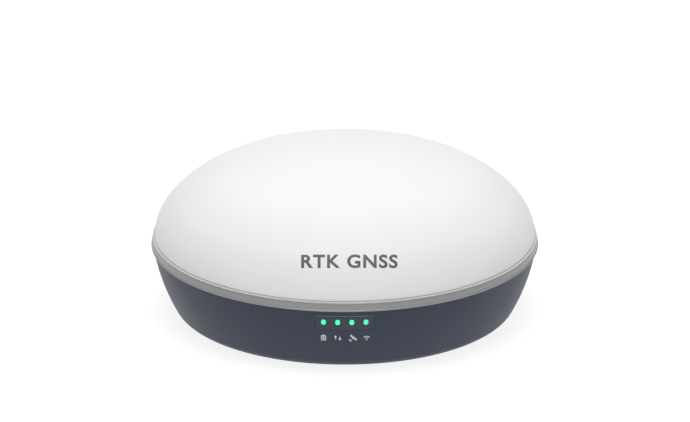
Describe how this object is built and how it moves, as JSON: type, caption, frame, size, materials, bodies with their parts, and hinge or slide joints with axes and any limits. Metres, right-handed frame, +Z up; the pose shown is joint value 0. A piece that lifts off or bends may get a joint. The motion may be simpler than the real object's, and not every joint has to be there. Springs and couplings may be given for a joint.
{
  "type": "gnss receiver",
  "caption": "Dome-topped satellite positioning receiver for a survey pole, with front status lamps, rear port cover and power button, and a threaded brass pole insert.",
  "frame": {"origin": "centre of the pole seat on the underside, where the pole axis meets the plane that the insert and the feet stand on", "axes": "+Z up along the pole axis, -Y towards the front with the status lamps, +X to the right when seen from the front"},
  "size_m": [0.156, 0.156, 0.068],
  "materials": {
    "radome_plastic": "satin",
    "band_plastic": "satin",
    "bowl_plastic": "satin, fine texture",
    "seal_rubber": "smooth",
    "cover_rubber": "matte",
    "brass": "turned",
    "screw_steel": "satin",
    "panel_film": "semi-gloss film",
    "clear_plastic": "clear, lit green",
    "lamp": "lit",
    "circuit_board": "solder mask",
    "chip_plastic": "matte",
    "shield_tin": "tinned",
    "plate_aluminium": "satin",
    "patch_ceramic": "matte",
    "foil": "etched copper, gold plated",
    "cell_wrap": "shrink sleeve",
    "cradle_plastic": "moulded",
    "cable_jacket": "smooth",
    "ribbon_film": "flat film",
    "label_film": "printed film"
  },
  "bodies": {
    "receiver": {"radome": "radome_plastic", "mid_ring": "band_plastic", "radome_seal": "seal_rubber", "housing": "bowl_plastic", "rubber_feet": "seal_rubber", "pole_insert": "brass", "insert_screws": "screw_steel", "insert_seal": "seal_rubber", "housing_screws": "screw_steel", "radome_inserts": "brass", "vent_plug": "chip_plastic", "rating_label": "label_film", "status_window": "panel_film", "light_pipe": "clear_plastic", "leds": "lamp", "led_board": "circuit_board", "led_board_screws": "screw_steel", "port_hinge_pin": "screw_steel", "usb_socket": "shield_tin", "sim_socket": "shield_tin", "io_board": "circuit_board", "button_seal": "seal_rubber", "power_switch": "chip_plastic", "switch_board": "circuit_board", "radio_jack": "brass", "jack_nut": "brass", "battery_cradle": "cradle_plastic", "battery_cell_left": "cell_wrap", "battery_cell_right": "cell_wrap", "battery_tabs": "shield_tin", "battery_clamp": "plate_aluminium", "battery_clamp_screws": "screw_steel", "battery_lead": "cable_jacket", "board_standoffs": "brass", "main_board": "circuit_board", "plate_standoffs": "brass", "gnss_module": "circuit_board", "gnss_shield": "shield_tin", "radio_module": "shield_tin", "cellular_module": "shield_tin", "bluetooth_module": "shield_tin", "tilt_sensor": "chip_plastic", "wireless_antennas": "foil", "board_connectors": "chip_plastic", "shield_plate": "plate_aluminium", "shield_plate_screws": "screw_steel", "antenna_posts": "brass", "antenna_ground_plane": "circuit_board", "ground_plane_screws": "screw_steel", "lower_patch": "patch_ceramic", "upper_patch": "patch_ceramic", "patch_foils": "foil", "lna_shield": "shield_tin", "antenna_cable": "cable_jacket", "led_ribbon": "ribbon_film", "io_ribbon": "ribbon_film", "radio_cable": "cable_jacket"},
    "power_button": {"power_button": "cover_rubber", "switch_plunger": "chip_plastic"},
    "port_cover": {"port_cover": "cover_rubber"}
  },
  "joints": [
    {"name": "power_button_press", "type": "slide", "parent": "receiver", "child": "power_button", "axis": [-0.866, -0.5, 0], "range_m": [0, 0.0008], "stiffness_N_per_m": 2500},
    {"name": "port_cover_hinge", "type": "hinge", "parent": "receiver", "child": "port_cover", "pos_m": [0, 0.068, 0.0082], "axis": [-1, 0, 0], "range_deg": [0, 80]}
  ]
}
